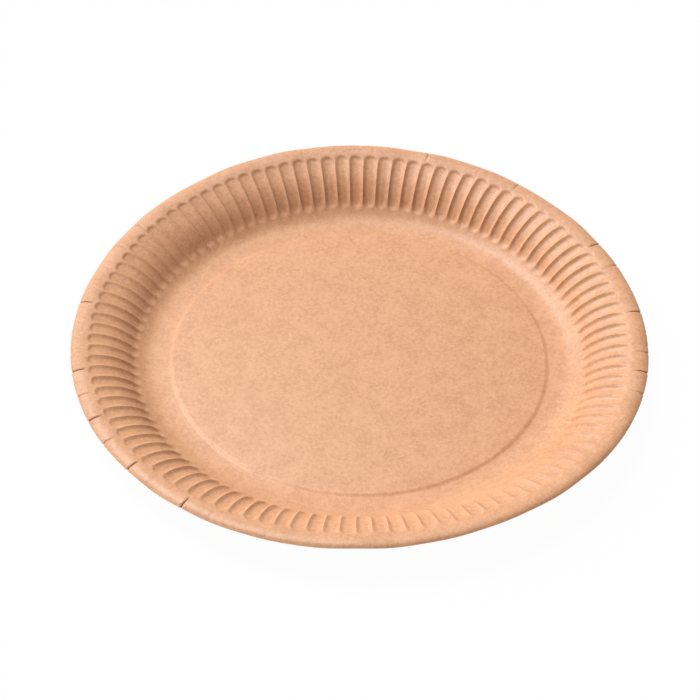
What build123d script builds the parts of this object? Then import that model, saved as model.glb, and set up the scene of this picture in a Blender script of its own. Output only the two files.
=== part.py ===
from build123d import *
import math
import os

# A round disposable plate, pressed from one sheet of kraft board.
#
# It stands on a flat ring round a slightly raised centre. A sloping wall rises
# from the ring to a crown, where the edge turns down as a lip. Flutes are pressed
# into the wall: each is a groove on the inside and a bulge on the outside.
# Sizes are in millimetres. The origin lies where the axis meets the table.

# Overall sizes
plate_radius = 115.0
plate_height = 16.4
board = 0.45

# Floor: the ring that stands on the table, the low step and the raised centre
floor_radius = 79.5
standing_width = 3.0
step_width = 2.0
centre_rise = 0.7

# Bends of the upper face, and how far the lip turns down
foot_bend = 9.0
shoulder_bend = 10.0
lip_bend = 4.5
lip_angle = 34.0

# Flutes, whose grooves are parts of a regular prism with this many sides
flute_count = 108
flute_depth = 0.9
flute_floor_gap = 9.0
flute_rim_gap = 8.2
prism_sides = 20

# How far the ridges between the flutes lie under the line of the wall
ridge_drop = 0.06

# Radii of the circles that follow from these, from the edge inwards
lip_width = lip_bend * math.sin(math.radians(lip_angle))
crown_radius = plate_radius - lip_width
flute_outer_radius = plate_radius - flute_rim_gap
flute_inner_radius = floor_radius + flute_floor_gap
standing_radius = floor_radius - standing_width
centre_radius = standing_radius - step_width

# The wall is a straight run that touches the foot bend and the shoulder bend
wall_run = crown_radius - floor_radius
wall_rise = plate_height - board
wall_bends = foot_bend + shoulder_bend
wall_length = math.sqrt(wall_run**2 + wall_rise**2 - 2 * wall_rise * wall_bends)
wall_lean = math.asin(wall_run / math.hypot(wall_bends, wall_length))
wall_angle = math.degrees(wall_lean - math.atan2(wall_length, wall_bends))

# A groove is as wide as one pitch at its outer end, so that the grooves meet there
pitch_angle = 360 / flute_count
half_pitch = flute_outer_radius * math.sin(math.radians(pitch_angle / 2))
groove_radius = (half_pitch**2 + flute_depth**2) / (2 * flute_depth)


def sheet_line(depth):
    """Edges from the axis to the lip, at a depth below the board's upper face."""
    step_slope = math.atan2(centre_rise, step_width)
    inset = depth * math.tan(step_slope / 2)
    floor = Polyline(
        (0, board + centre_rise - depth),
        (centre_radius - inset, board + centre_rise - depth),
        (standing_radius - inset, board - depth),
        (floor_radius, board - depth),
    )
    foot = JernArc(floor @ 1, (1, 0), foot_bend + depth, wall_angle)
    wall = Line(foot @ 1, foot @ 1 + (foot % 1) * wall_length)
    shoulder = JernArc(wall @ 1, wall % 1, shoulder_bend - depth, -wall_angle)
    lip = JernArc(shoulder @ 1, (1, 0), lip_bend - depth, -lip_angle)
    return [*floor.edges(), foot, wall, shoulder, lip]


def board_section():
    """The board's section, between its upper and its lower face."""
    upper = sheet_line(0)
    lower = sheet_line(board)
    edge = Line(upper[-1] @ 1, lower[-1] @ 1)
    axis = Line(upper[0] @ 0, lower[0] @ 0)
    return make_face([*upper, edge, *lower, axis])


def section_below():
    """Everything under the board's upper face, down to well below the table."""
    upper = sheet_line(0)
    low = -plate_height
    rest = Polyline(upper[-1] @ 1, (plate_radius, low), (0, low), upper[0] @ 0)
    return make_face([*upper, rest])


def between(section, inner, outer):
    """The stretch of a section between two radii, stood up in the XZ plane."""
    window = Rectangle(outer - inner, 4 * plate_height)
    return Plane.XZ * (section & (Pos((inner + outer) / 2, 0) * window))


def flute_prism(growth):
    """The prism that hollows a groove, or with growth the one round its board."""
    wall = sheet_line(0)[4]
    along = wall % 0
    upwards = Vector(-along.Y, along.X)
    axis_height = groove_radius - flute_depth - ridge_drop
    start, end = [
        wall @ 0 + along * ((radius - (wall @ 0).X) / along.X) + upwards * axis_height
        for radius in (flute_inner_radius, flute_outer_radius)
    ]
    axis = Plane.XZ * Line(start - along * growth, end + along * growth)
    corner_down = Rot(Z=90) * RegularPolygon(groove_radius + growth, prism_sides)
    across = Plane(axis @ 0, x_dir=(0, 1, 0), z_dir=axis % 0)
    return Rot(Z=pitch_angle / 2) * (across * extrude(corner_down, axis.length))


def fluted_sector(section):
    """One pitch of the wall, from ridge to ridge, with its groove and its bulge."""
    plain = revolve(between(section, floor_radius, crown_radius), Axis.Z, pitch_angle)
    under = revolve(between(section_below(), floor_radius, crown_radius), Axis.Z, pitch_angle)
    return plain + (under & flute_prism(board)) - flute_prism(0)


def is_cut_side(face):
    """Whether a face is one of the upright cuts where the sectors meet."""
    return face.geom_type == GeomType.PLANE and abs(face.normal_at().Z) < 1e-6


def fluted_wall(section):
    """The ring of sectors, as one shell without the cuts between them."""
    outside = [face for face in fluted_sector(section).faces() if not is_cut_side(face)]
    turns = [Rot(Z=index * pitch_angle) for index in range(flute_count)]
    return Solid(Shell([turn * face for turn in turns for face in outside]))


def plate():
    """The whole plate: floor, fluted wall and lip, as one piece of board."""
    section = board_section()
    centre = revolve(between(section, 0, floor_radius), Axis.Z)
    lip = revolve(between(section, crown_radius, crown_radius + 2 * lip_width), Axis.Z)
    return fluted_wall(section).fuse(centre, lip)


os.makedirs("parts", exist_ok=True)
export_step(plate(), "parts/plate.step")
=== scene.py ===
"""A round paper plate pressed from brown kraft board, dressed for its picture.

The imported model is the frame, and one finely modelled sheet stands for its plate.
A profile is spun round the axis, and its vertices are then pressed into flutes,
folded at the rim and warped a little, as the real board is. Lengths are in
millimetres and angles in degrees, until a finished mesh is scaled to metres.
"""

import logging
import math
import random
from collections.abc import Iterator, Mapping, Sequence
from dataclasses import dataclass, field
from enum import Enum

import bmesh
import bpy
from mathutils import Matrix, Vector


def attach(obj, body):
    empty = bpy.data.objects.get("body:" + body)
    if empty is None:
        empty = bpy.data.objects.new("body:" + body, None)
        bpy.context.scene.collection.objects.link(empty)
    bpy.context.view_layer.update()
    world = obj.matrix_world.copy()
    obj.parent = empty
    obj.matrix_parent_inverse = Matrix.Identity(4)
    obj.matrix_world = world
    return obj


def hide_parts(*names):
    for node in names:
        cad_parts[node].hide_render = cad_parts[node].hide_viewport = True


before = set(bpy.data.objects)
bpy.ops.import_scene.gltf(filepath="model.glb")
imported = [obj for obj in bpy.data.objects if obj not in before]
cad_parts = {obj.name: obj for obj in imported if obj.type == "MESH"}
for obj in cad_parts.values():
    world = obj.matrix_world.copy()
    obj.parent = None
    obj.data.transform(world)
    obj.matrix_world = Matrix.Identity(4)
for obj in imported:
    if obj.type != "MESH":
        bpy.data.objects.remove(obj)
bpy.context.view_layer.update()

MM = 0.001
LOG = logging.getLogger("paper_plate")
CREASE_LAYER = "crease"
RIDGE_LAYER = "ridge"
NOISE_MIDDLE = 0.5

Colour = tuple[float, float, float]


def smooth(share: float) -> float:
    """Ease from 0 to 1 as the share goes from 0 to 1.

    Args:
        share: How far along the ramp, of any value.

    Returns:
        A value from 0 to 1, level at both ends.
    """
    held = min(max(share, 0.0), 1.0)
    return held * held * (3 - 2 * held)


# Shader wiring


class Wire:
    """A value that flows between shader nodes, with Python's arithmetic."""

    def __init__(self, board: "NodeBoard", socket: bpy.types.NodeSocket) -> None:
        """Wrap an output socket of a node on the board."""
        self.board = board
        self.socket = socket

    def __add__(self, other: "Wire | float") -> "Wire":
        """Add another value."""
        return self.board.maths("ADD", self, other)

    __radd__ = __add__

    def __sub__(self, other: "Wire | float") -> "Wire":
        """Take another value away."""
        return self.board.maths("SUBTRACT", self, other)

    def __rsub__(self, other: float) -> "Wire":
        """Take this value away from a number."""
        return self.board.maths("SUBTRACT", other, self)

    def __mul__(self, other: "Wire | float") -> "Wire":
        """Multiply by another value."""
        return self.board.maths("MULTIPLY", self, other)

    __rmul__ = __mul__

    def __abs__(self) -> "Wire":
        """Drop the sign."""
        return self.board.maths("ABSOLUTE", self)

    def ramp(self, low: float, high: float) -> "Wire":
        """Ease from 0 to 1 as the value goes from low to high.

        Args:
            low: Value that gives 0. It may be the larger of the two.
            high: Value that gives 1.

        Returns:
            The eased value.
        """
        return self.board.add(
            "ShaderNodeMapRange",
            {"interpolation_type": "SMOOTHSTEP"},
            {"Value": self, "From Min": low, "From Max": high},
            "Result",
        )


class NodeBoard:
    """The node tree of one material or world, filled by method calls."""

    def __init__(self, owner: bpy.types.Material | bpy.types.World) -> None:
        """Start from an empty tree.

        Args:
            owner: The material or world whose nodes are made here.
        """
        owner.use_nodes = True
        self.tree = owner.node_tree
        self.tree.nodes.clear()

    def add(
        self,
        kind: str,
        settings: Mapping[str, object],
        sockets: Mapping[str | int, object],
        output: str | int = 0,
    ) -> Wire:
        """Add a node, set it up and feed its sockets.

        Args:
            kind: Type of the node.
            settings: Properties that are set first.
            sockets: Value or wire for each input, by name or index.
            output: Name or index of the output that is returned.

        Returns:
            The wire that leaves the chosen output.
        """
        node = self.tree.nodes.new(kind)
        for name, value in settings.items():
            setattr(node, name, value)
        for name, value in sockets.items():
            if isinstance(value, Wire):
                self.tree.links.new(value.socket, node.inputs[name])
            else:
                node.inputs[name].default_value = value
        return Wire(self, node.outputs[output])

    def end(self, kind: str, shader: Wire) -> None:
        """Add the output node and feed it the shader."""
        node = self.tree.nodes.new(kind)
        self.tree.links.new(shader.socket, node.inputs["Surface"])

    def maths(self, operation: str, *values: Wire | float) -> Wire:
        """Add a Math node for one operation on one or two values."""
        return self.add("ShaderNodeMath", {"operation": operation}, dict(enumerate(values)))

    def layer(self, name: str) -> Wire:
        """Read a float layer of the mesh."""
        return self.add("ShaderNodeAttribute", {"attribute_name": name}, {}, "Fac")

    def blend(self, factor: Wire | float, first: Wire | Colour, second: Wire | Colour) -> Wire:
        """Mix two colours by a factor.

        Args:
            factor: Share of the second colour, from 0 to 1.
            first: Colour where the factor is 0.
            second: Colour where the factor is 1.

        Returns:
            The mixed colour.
        """
        ends = [end if isinstance(end, Wire) else (*end, 1.0) for end in (first, second)]
        # For colours this node takes its inputs 6 and 7, and gives its output 2.
        sockets = {0: factor, 6: ends[0], 7: ends[1]}
        return self.add("ShaderNodeMix", {"data_type": "RGBA", "blend_type": "MIX"}, sockets, 2)

    def noise(self, place: Wire, size: float, **sockets: float) -> Wire:
        """Add a noise pattern.

        Args:
            place: Where on the object, in metres.
            size: Rough size of the pattern's lumps, in millimetres.
            sockets: Further inputs, such as Detail.

        Returns:
            The pattern, mostly between 0.3 and 0.7.
        """
        inputs = {"Vector": place, "Scale": 1 / (size * MM), **sockets}
        return self.add("ShaderNodeTexNoise", {}, inputs, "Fac")


@dataclass(frozen=True)
class Speckle:
    """Noise in the board, with lumps of one rough size and a share in its relief."""

    size: float
    detail: float
    roughness: float
    relief: float = 0.0

    def wire(self, board: NodeBoard, place: Wire) -> Wire:
        """Add the noise, with the place on the object in metres."""
        return board.noise(place, self.size, Detail=self.detail, Roughness=self.roughness)


@dataclass(frozen=True)
class Fibres:
    """Thin curled lines, broken into short lengths.

    The width is a share of the noise's range. The shift moves the pattern, so that
    two sets of fibres differ.
    """

    length: float
    width: float
    shift: float
    relief: float
    curl: float = 1.2
    break_share: float = 0.6
    break_range: tuple[float, float] = (0.52, 0.60)

    def wire(self, board: NodeBoard, place: Wire) -> Wire:
        """Add the fibres.

        Args:
            board: The node board that they are made on.
            place: Where on the object, in metres.

        Returns:
            A mask that is 1 on a fibre.
        """
        sockets = {0: place, 1: (self.shift, self.shift, self.shift)}
        moved = board.add("ShaderNodeVectorMath", {"operation": "ADD"}, sockets)
        curl = board.noise(moved, self.length, Detail=1.0, Distortion=self.curl)
        line = abs(curl - NOISE_MIDDLE).ramp(self.width, 0.0)
        breaks = board.noise(moved, self.length * self.break_share, Detail=0.0)
        return line * breaks.ramp(*self.break_range)


@dataclass(frozen=True)
class KraftBoard:
    """Uncoated brown kraft board: mottled pulp, fine pale and dark fibres, painted highlights on the
    ridges and painted shade in the creases.
    """

    slot_name: str = "kraft_board"
    pulp: Colour = (0.79, 0.400, 0.203)
    shade: Colour = (0.65, 0.296, 0.141)
    pale: Colour = (0.89, 0.52, 0.31)
    fleck: Colour = (0.50, 0.22, 0.115)
    # Painted shade: a dark brown drawn into the rim's creases.
    painted_crease_shade: Colour = (0.20, 0.075, 0.035)
    cloud: Speckle = Speckle(9.0, 3.0, 0.6)
    mottle: Speckle = Speckle(1.6, 4.0, 0.65, relief=0.4)
    grain: Speckle = Speckle(0.45, 2.0, 0.6, relief=0.6)
    dark_fibres: Fibres = Fibres(1.7, 0.018, 0.31, relief=-0.15)
    pale_fibres: Fibres = Fibres(2.3, 0.022, 0.57, relief=0.3)
    cloud_share: float = 0.35
    tone_range: tuple[float, float] = (0.36, 0.62)
    grain_range: tuple[float, float] = (0.45, 0.72)
    grain_share: float = 0.55
    fleck_share: float = 0.5
    pale_share: float = 0.6
    # Share of painted highlight along the flutes' ridges.
    painted_ridge_highlight: float = 0.3
    painted_crease_shade_range: tuple[float, float] = (0.2, 0.867)
    painted_crease_shade_share: float = 0.9
    roughness: float = 0.46
    roughness_play: float = 0.06
    gloss: float = 0.5
    tooth: float = 0.35
    tooth_height: float = 0.05

    def material(self) -> bpy.types.Material:
        """Make the board's material.

        Returns:
            A material that reads Object coordinates and the sheet's own layers.
        """
        material = bpy.data.materials.new(self.slot_name)
        board = NodeBoard(material)
        place = board.add("ShaderNodeTexCoord", {}, {}, "Object")
        cloud = self.cloud.wire(board, place)
        mottle = self.mottle.wire(board, place)
        grain = self.grain.wire(board, place)
        dark = self.dark_fibres.wire(board, place)
        pale = self.pale_fibres.wire(board, place)
        tone = (self.cloud_share * cloud + (1 - self.cloud_share) * mottle).ramp(*self.tone_range)
        painted_crease_shade = board.layer(CREASE_LAYER).ramp(*self.painted_crease_shade_range)
        colour = board.blend(tone, self.shade, self.pulp)
        colour = board.blend(grain.ramp(*self.grain_range) * self.grain_share, colour, self.pale)
        colour = board.blend(dark * self.fleck_share, colour, self.fleck)
        colour = board.blend(pale * self.pale_share, colour, self.pale)
        # Painted highlight: the pale colour laid along the flutes' ridges, as light catching their
        # tops.
        colour = board.blend(board.layer(RIDGE_LAYER) * self.painted_ridge_highlight, colour, self.pale)
        # Painted shade: dark brown laid into the rim's creases, where shade falls in the narrow folds.
        colour = board.blend(painted_crease_shade * self.painted_crease_shade_share, colour, self.painted_crease_shade)
        relief = grain * self.grain.relief + mottle * self.mottle.relief
        relief = relief + pale * self.pale_fibres.relief + dark * self.dark_fibres.relief
        bump = {"Strength": self.tooth, "Distance": self.tooth_height * MM, "Height": relief}
        sockets = {
            "Base Color": colour,
            "Roughness": self.roughness + self.roughness_play * (mottle - NOISE_MIDDLE),
            "Specular IOR Level": self.gloss,
            "Normal": board.add("ShaderNodeBump", {}, bump, "Normal"),
        }
        shader = board.add("ShaderNodeBsdfPrincipled", {}, sockets, "BSDF")
        board.end("ShaderNodeOutputMaterial", shader)
        return material


# The sheet's form


@dataclass(frozen=True)
class Bend:
    """One stretch of the sheet's profile, bent evenly from the last one's slope.

    It says the radius and the slope that the stretch ends with, and how many rings
    of faces it has.
    """

    reach: float
    slope: float
    rings: int


@dataclass(frozen=True)
class Profile:
    """The upper face of the sheet on a half section, from the axis to the edge."""

    centre_height: float = 1.195
    bends: tuple[Bend, ...] = (
        Bend(74.2, 0.0, 1),
        Bend(75.3, -33.0, 2),
        Bend(76.5, 0.0, 2),
        Bend(82.4, 2.0, 1),
        Bend(88.0, 33.0, 4),
        Bend(89.8, 49.0, 4),
        Bend(91.4, 43.0, 2),
        Bend(96.0, 31.0, 3),
        Bend(101.0, 17.5, 3),
        Bend(105.6, 10.5, 2),
        Bend(108.6, 8.5, 6),
        Bend(111.0, 3.5, 2),
        Bend(113.4, -19.0, 2),
        Bend(115.0, -48.0, 3),
    )

    def stretches(self) -> Iterator[tuple[float, float, float, float]]:
        """Every ring-to-ring stretch.

        Yields:
            Its inner and outer radius, and its slope at each of them in radians.
        """
        radius, sine = 0.0, 0.0
        for bend in self.bends:
            start, start_sine = radius, sine
            for ring in range(1, bend.rings + 1):
                share = ring / bend.rings
                outer = start + (bend.reach - start) * share
                outer_sine = start_sine + (math.sin(math.radians(bend.slope)) - start_sine) * share
                yield radius, outer, math.asin(sine), math.asin(outer_sine)
                radius, sine = outer, outer_sine

    def points(self) -> list[tuple[float, float]]:
        """Find where every ring lies.

        Returns:
            Radius and height of every ring, the axis first.
        """
        height = self.centre_height
        points = [(0.0, height)]
        for inner, outer, slope, outer_slope in self.stretches():
            height += (outer - inner) * math.tan((slope + outer_slope) / 2)
            points.append((outer, height))
        return points

    def slope_at(self, radius: float) -> float:
        """Find the slope of the sheet.

        Args:
            radius: Distance from the axis.

        Returns:
            The slope there, in radians.
        """
        for inner, outer, slope, outer_slope in self.stretches():
            if radius <= outer:
                return slope + (outer_slope - slope) * (radius - inner) / (outer - inner)
        return outer_slope


@dataclass(frozen=True)
class Flutes:
    """Grooves pressed into the wall, side by side, with rounded ends.

    A groove's section is flat in its middle and steep at the ridges. Within the
    end's reach it turns rounder and shallower towards the rim.
    """

    count: int = 108
    ridge_angle: float = 0.163
    depth: float = 0.95
    hollow_power: float = 4.0
    ridge_power: float = 1.5
    end_power: float = 2.8
    end_reach: float = 5.0
    end_depth: float = 0.65
    inner_radius: float = 88.0
    inner_round: float = 1.8
    inner_fall: float = 2.4
    outer_radius: float = 108.3
    outer_round: float = 3.2
    outer_fall: float = 1.0
    ridge_width: float = 0.2
    depth_play: float = 0.1
    reach_play: float = 0.25
    seed: int = 11

    def variations(self) -> list[tuple[float, float]]:
        """Draw how the grooves differ.

        Returns:
            For each groove a factor on its depth, and how much further out it reaches.
        """
        draw = random.Random(self.seed)
        return [
            (1 + draw.uniform(-1, 1) * self.depth_play, draw.uniform(-1, 1) * self.reach_play)
            for _ in range(self.count)
        ]

    def place_at(self, angle: float) -> tuple[int, float]:
        """Find the groove at an angle.

        Args:
            angle: Direction round the axis, in degrees.

        Returns:
            The groove's number, and how far across it the place lies: 0 in its
            middle and 1 on a ridge.
        """
        turns = (angle - self.ridge_angle) * self.count / 360 - 0.5
        nearest = round(turns)
        return nearest % self.count, min(abs(2 * (turns - nearest)), 1.0)

    def depth_at(self, radius: float, angle: float, varied: Sequence[tuple[float, float]]) -> float:
        """How deep the sheet is pressed at a place.

        Args:
            radius: Distance from the axis.
            angle: Direction round the axis, in degrees.
            varied: What variations() gives.

        Returns:
            The depth under the wall's own surface.
        """
        groove, across = self.place_at(angle)
        factor, reach = varied[groove]
        rounding = 1 - math.sqrt(1 - across**2)
        near_end = smooth(1 - (self.outer_radius - radius) / self.end_reach)
        power = self.hollow_power + (self.end_power - self.hollow_power) * near_end
        hollow = (1 - across**power) ** self.ridge_power
        outer = self.outer_radius + reach - self.outer_round * rounding
        inner = self.inner_radius + self.inner_round * rounding
        ends = smooth((outer - radius) / self.outer_fall)
        ends *= smooth((radius - inner) / self.inner_fall)
        shallow = 1 - (1 - self.end_depth) * near_end
        return self.depth * factor * shallow * ends * hollow

    def ridge_at(self, radius: float, angle: float) -> float:
        """How much a place belongs to a ridge between two grooves.

        Args:
            radius: Distance from the axis.
            angle: Direction round the axis, in degrees.

        Returns:
            1 on a ridge, down to 0 in a groove and beyond the flutes.
        """
        _, across = self.place_at(angle)
        ends = smooth((self.outer_radius - radius) / self.outer_fall)
        ends *= smooth((radius - self.inner_radius) / self.inner_fall)
        return ends * smooth(1 - (1 - across) / self.ridge_width)


class Fold(Enum):
    """How strongly a crease in the rim shows, as its depth."""

    FAINT = 0.15
    MEDIUM = 0.27
    STRONG = 0.42


@dataclass(frozen=True)
class Creases:
    """Folds that run across the rim, where the pressed board had to gather.

    Each is a narrow valley with a low swelling at its sides, and ends in a notch at
    the plate's edge. The directions are grouped by strength.
    """

    faint: tuple[float, ...] = (
        0.0, 3.5, 16.5, 45.2, 64.0, 88.0, 153.0, 160.0, 186.0, 226.5, 241.5, 308.8, 325.0, 334.0,
    )
    medium: tuple[float, ...] = (23.8, 54.8, 76.0, 146.0, 198.3, 212.3, 345.5, 357.7)
    strong: tuple[float, ...] = (9.7, 31.0, 171.0, 191.3, 205.5, 221.0, 235.5, 351.5)
    start_radius: float = 107.6
    full_radius: float = 111.0
    width: float = 0.32
    lift_width: float = 1.3
    lift_share: float = 0.22
    reach: float = 3.0
    notch: float = 0.35
    notch_reach: float = 1.6

    def folds(self, first: float, spacing: float) -> list[tuple[float, float]]:
        """Angle and depth of every crease, each moved onto a column of vertices.

        Args:
            first: Direction of the first column, in degrees.
            spacing: Angle from one column to the next.

        Returns:
            Pairs of an angle and a depth.
        """
        groups = ((self.faint, Fold.FAINT), (self.medium, Fold.MEDIUM), (self.strong, Fold.STRONG))
        return [
            (first + round((angle - first) / spacing) * spacing, fold.value)
            for angles, fold in groups
            for angle in angles
        ]

    def near(
        self, radius: float, angle: float, folds: Sequence[tuple[float, float]]
    ) -> Iterator[tuple[float, float]]:
        """Every crease near a place.

        Args:
            radius: Distance from the axis.
            angle: Direction round the axis, in degrees.
            folds: What folds() gives.

        Yields:
            How far away the crease runs, and its depth there.
        """
        fade = smooth((radius - self.start_radius) / (self.full_radius - self.start_radius))
        for fold_angle, depth in folds:
            away = math.radians((angle - fold_angle + 180) % 360 - 180) * radius
            if abs(away) < self.reach * self.lift_width:
                yield away, depth * fade

    def mark_at(self, radius: float, angle: float, folds: Sequence[tuple[float, float]]) -> float:
        """How much of a crease runs through a place.

        Args:
            radius: Distance from the axis.
            angle: Direction round the axis, in degrees.
            folds: What folds() gives.

        Returns:
            0 away from the creases, and up to 1 on the strongest.
        """
        return sum(
            depth / Fold.STRONG.value * math.exp(-((away / self.width) ** 2))
            for away, depth in self.near(radius, angle, folds)
        )

    def lift_at(self, radius: float, angle: float, folds: Sequence[tuple[float, float]]) -> float:
        """How far the rim is lifted at a place, below zero inside a crease.

        Args:
            radius: Distance from the axis.
            angle: Direction round the axis, in degrees.
            folds: What folds() gives.

        Returns:
            The lift, in millimetres.
        """
        lift = 0.0
        for away, depth in self.near(radius, angle, folds):
            valley = math.exp(-((away / self.width) ** 2))
            flank = math.exp(-((away / self.lift_width) ** 2))
            lift += depth * (self.lift_share * flank - (1 + self.lift_share) * valley)
        return lift


@dataclass(frozen=True)
class Warp:
    """The slow twist of the rim of a real plate, which grows from the floor outwards.

    The cosines and sines are the heights of the waves that run round the rim once,
    twice and so on, on top of an even lift.
    """

    start_radius: float = 80.0
    full_radius: float = 115.0
    lift: float = 0.85
    cosines: tuple[float, ...] = (0.95, -2.33, -0.26, -0.18)
    sines: tuple[float, ...] = (0.36, -0.91, -0.47, 0.21)
    slide_back: float = 0.62
    ripple: float = 0.10
    ripple_turns: tuple[int, ...] = (9, 14, 22, 31)
    seed: int = 5

    def share(self, radius: float) -> float:
        """Share of the full warp at a radius."""
        reach = self.full_radius - self.start_radius
        return min(max((radius - self.start_radius) / reach, 0.0), 1.0)

    def phases(self) -> list[float]:
        """Draw where each ripple starts, in radians."""
        draw = random.Random(self.seed)
        return [draw.uniform(0, math.tau) for _ in self.ripple_turns]

    def lift_at(self, radius: float, angle: float, phases: Sequence[float]) -> float:
        """How far the warp lifts the sheet at a place.

        Args:
            radius: Distance from the axis.
            angle: Direction round the axis, in degrees.
            phases: What phases() gives.

        Returns:
            The lift, in millimetres.
        """
        turn = math.radians(angle)
        lift = self.lift
        lift += sum(size * math.cos(n * turn) for n, size in enumerate(self.cosines, 1))
        lift += sum(size * math.sin(n * turn) for n, size in enumerate(self.sines, 1))
        waves = sum(math.sin(n * turn + phase) for n, phase in zip(self.ripple_turns, phases))
        return self.share(radius) * (lift + self.ripple * waves * self.share(radius))


@dataclass(frozen=True)
class Plate:
    """The whole plate, as one sheet of board."""

    board: float = 0.45
    columns_per_flute: int = 12
    sharp_angle: float = 55.0
    weld_distance: float = 0.001
    profile: Profile = field(default_factory=Profile)
    flutes: Flutes = field(default_factory=Flutes)
    creases: Creases = field(default_factory=Creases)
    warp: Warp = field(default_factory=Warp)
    finish: KraftBoard = field(default_factory=KraftBoard)

    def spun_sheet(self) -> bmesh.types.BMesh:
        """Spin the profile into a smooth sheet that faces up.

        Returns:
            The sheet, with a column of vertices on each ridge and in each groove.
        """
        sheet = bmesh.new()
        line = [sheet.verts.new((radius, 0, height)) for radius, height in self.profile.points()]
        edges = [sheet.edges.new(pair) for pair in zip(line, line[1:])]
        pitch = math.tau / self.flutes.count
        about = {"axis": (0, 0, 1), "cent": (0, 0, 0)}
        steps = self.columns_per_flute
        bmesh.ops.spin(sheet, geom=[*line, *edges], angle=pitch, steps=steps, **about)
        sector = [*sheet.verts, *sheet.edges, *sheet.faces]
        rest = self.flutes.count - 1
        bmesh.ops.spin(sheet, geom=sector, angle=rest * pitch, steps=rest, use_duplicate=True, **about)
        bmesh.ops.remove_doubles(sheet, verts=sheet.verts, dist=self.weld_distance)
        turn = Matrix.Rotation(math.radians(self.flutes.ridge_angle), 3, "Z")
        bmesh.ops.rotate(sheet, verts=sheet.verts, cent=(0, 0, 0), matrix=turn)
        bmesh.ops.recalc_face_normals(sheet, faces=sheet.faces)
        if sum(face.normal.z for face in sheet.faces) < 0:
            bmesh.ops.reverse_faces(sheet, faces=sheet.faces)
        return sheet

    def press(self, sheet: bmesh.types.BMesh) -> None:
        """Move the sheet's vertices into flutes, creases and warp.

        Args:
            sheet: The smooth sheet, which is changed in place.
        """
        varied = self.flutes.variations()
        spacing = 360 / (self.flutes.count * self.columns_per_flute)
        folds = self.creases.folds(self.flutes.ridge_angle, spacing)
        phases = self.warp.phases()
        marks = sheet.verts.layers.float.new(CREASE_LAYER)
        ridges = sheet.verts.layers.float.new(RIDGE_LAYER)
        slopes = {ring: self.profile.slope_at(ring) for ring, _ in self.profile.points()}
        rings = sorted(slopes)
        for vertex in sheet.verts:
            radius = vertex.co.xy.length
            if radius <= self.warp.start_radius:
                continue
            angle = math.degrees(math.atan2(vertex.co.y, vertex.co.x)) % 360
            slope = slopes[min(rings, key=lambda ring: abs(ring - radius))]
            lift = self.creases.lift_at(radius, angle, folds)
            lift -= self.flutes.depth_at(radius, angle, varied)
            mark = self.creases.mark_at(radius, angle, folds)
            vertex[marks] = mark
            vertex[ridges] = self.flutes.ridge_at(radius, angle)
            edge = smooth(1 - (self.profile.bends[-1].reach - radius) / self.creases.notch_reach)
            shift = -lift * math.sin(slope) - self.creases.notch * mark * edge
            outward = vertex.co.xy.normalized() * shift
            vertex.co += Vector((*outward, lift * math.cos(slope)))
            vertex.co.y += self.warp.slide_back * self.warp.share(radius)
            vertex.co.z += self.warp.lift_at(radius, angle, phases)

    def build(self) -> bpy.types.Object:
        """Make the finished plate.

        Returns:
            The object, with its material, riding on the frame's body.
        """
        sheet = self.spun_sheet()
        self.press(sheet)
        bmesh.ops.solidify(sheet, geom=sheet.faces[:], thickness=self.board)
        bmesh.ops.scale(sheet, vec=(MM, MM, MM), verts=sheet.verts)
        mesh = bpy.data.meshes.new("pressed_plate")
        sheet.to_mesh(mesh)
        sheet.free()
        mesh.shade_smooth()
        mesh.set_sharp_from_angle(angle=math.radians(self.sharp_angle))
        mesh.materials.append(self.finish.material())
        piece = bpy.data.objects.new("pressed_plate", mesh)
        bpy.context.collection.objects.link(piece)
        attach(piece, "root")
        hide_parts("plate")
        return piece


# The studio


@dataclass(frozen=True)
class Lamp:
    """A distant soft lamp."""

    name: str
    direction: float
    height: float
    strength: float
    softness: float
    colour: Colour = (0.97, 1.0, 1.03)

    def build(self) -> bpy.types.Object:
        """Make the lamp.

        Returns:
            Its object, turned towards the middle of the scene.
        """
        light = bpy.data.lights.new(self.name, "SUN")
        light.energy = self.strength
        light.color = self.colour
        light.angle = math.radians(self.softness)
        lamp = bpy.data.objects.new(self.name, light)
        turn, height = math.radians(self.direction), math.radians(self.height)
        level = math.cos(height)
        towards = Vector((math.cos(turn) * level, math.sin(turn) * level, math.sin(height)))
        lamp.rotation_euler = towards.to_track_quat("Z", "Y").to_euler()
        bpy.context.collection.objects.link(lamp)
        return lamp


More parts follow.
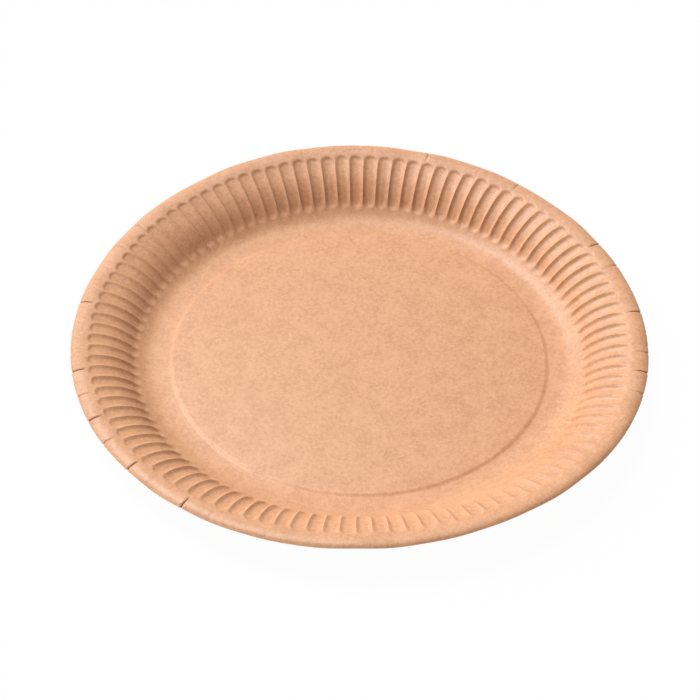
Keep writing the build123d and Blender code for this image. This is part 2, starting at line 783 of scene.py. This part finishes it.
@dataclass(frozen=True)
class Studio:
    """A plain pale floor, soft light and the camera."""

    floor_side: float = 6000.0
    floor_colour: Colour = (0.93, 0.93, 0.93)
    floor_white: float = 0.97
    sky_light: float = 0.01
    sky_colour: Colour = (1.0, 0.86, 0.74)
    lamps: tuple[Lamp, ...] = (
        Lamp("main_lamp", 129.0, 59.0, 2.8, 30.0),
        Lamp("low_lamp", 144.0, 27.0, 0.75, 25.0),
        Lamp("side_lamp", 193.0, 42.0, 0.6, 60.0, (1.0, 0.96, 0.98)),
    )
    view_height: float = 44.11
    view_distance: float = 1036.4
    view_roll: float = 1.394
    target_height: float = 0.8
    focal_length: float = 132.76
    shift_right: float = -0.0134
    shift_up: float = 0.01108

    def floor(self) -> bpy.types.Object:
        """Make the floor, which is white to the camera and still holds the shadow.

        Returns:
            The floor's object.
        """
        plane = bmesh.new()
        bmesh.ops.create_grid(plane, x_segments=1, y_segments=1, size=self.floor_side * MM / 2)
        mesh = bpy.data.meshes.new("floor")
        plane.to_mesh(mesh)
        plane.free()
        floor = bpy.data.objects.new("floor", mesh)
        bpy.context.collection.objects.link(floor)
        material = bpy.data.materials.new("floor_white")
        board = NodeBoard(material)
        paint = board.add("ShaderNodeBsdfDiffuse", {}, {"Color": (*self.floor_colour, 1.0)})
        glow = board.add("ShaderNodeEmission", {}, {"Strength": 1.0})
        seen = self.seen_straight(board) * self.floor_white
        mixed = board.add("ShaderNodeMixShader", {}, {0: seen, 1: paint, 2: glow})
        board.end("ShaderNodeOutputMaterial", mixed)
        mesh.materials.append(material)
        return floor

    def seen_straight(self, board: NodeBoard) -> Wire:
        """Find what the camera sees straight, mirrored or through glass.

        Args:
            board: The node board that the mask is made on.

        Returns:
            A mask that is 1 for such rays.
        """
        rays = board.add("ShaderNodeLightPath", {}, {}, "Is Camera Ray")
        outputs = rays.socket.node.outputs
        either = rays + Wire(board, outputs["Is Glossy Ray"])
        return board.maths("MINIMUM", either + Wire(board, outputs["Is Transmission Ray"]), 1.0)

    def sky(self) -> None:
        """Light the object evenly from all round, on a white background."""
        world = bpy.data.worlds.new("studio")
        bpy.context.scene.world = world
        board = NodeBoard(world)
        seen = self.seen_straight(board)
        white = board.add("ShaderNodeBackground", {}, {"Color": (1, 1, 1, 1), "Strength": 1.0})
        soft = {"Color": (*self.sky_colour, 1.0), "Strength": self.sky_light}
        light = board.add("ShaderNodeBackground", {}, soft)
        mixed = board.add("ShaderNodeMixShader", {}, {0: seen, 1: light, 2: white})
        board.end("ShaderNodeOutputWorld", mixed)

    def camera(self) -> bpy.types.Object:
        """Make the camera, in front of the object and looking down on it.

        Returns:
            The camera's object.
        """
        camera = bpy.data.cameras.new("camera")
        camera.lens = self.focal_length
        camera.sensor_fit = "HORIZONTAL"
        camera.shift_x = self.shift_right
        camera.shift_y = self.shift_up
        piece = bpy.data.objects.new("camera", camera)
        height = math.radians(self.view_height)
        back = Vector((0, -math.cos(height), math.sin(height)))
        target = Vector((0, 0, self.target_height * MM))
        turn = Matrix.Rotation(math.radians(self.view_roll), 4, back)
        look = turn @ back.to_track_quat("Z", "Y").to_matrix().to_4x4()
        piece.matrix_world = Matrix.Translation(target + back * self.view_distance * MM) @ look
        bpy.context.collection.objects.link(piece)
        bpy.context.scene.camera = piece
        return piece

    def build(self) -> None:
        """Set up the whole studio and the colours' plain view."""
        for piece in (self.floor(), *(lamp.build() for lamp in self.lamps), self.camera()):
            LOG.info("studio: %s", piece.name)
        self.sky()
        bpy.context.scene.view_settings.view_transform = "Standard"


def main() -> None:
    """Build the plate and its studio, and log the plate's face count."""
    logging.basicConfig(level=logging.INFO)
    piece = Plate().build()
    LOG.info("%s: %d faces", piece.name, len(piece.data.polygons))
    Studio().build()


if __name__ == "__main__":
    main()
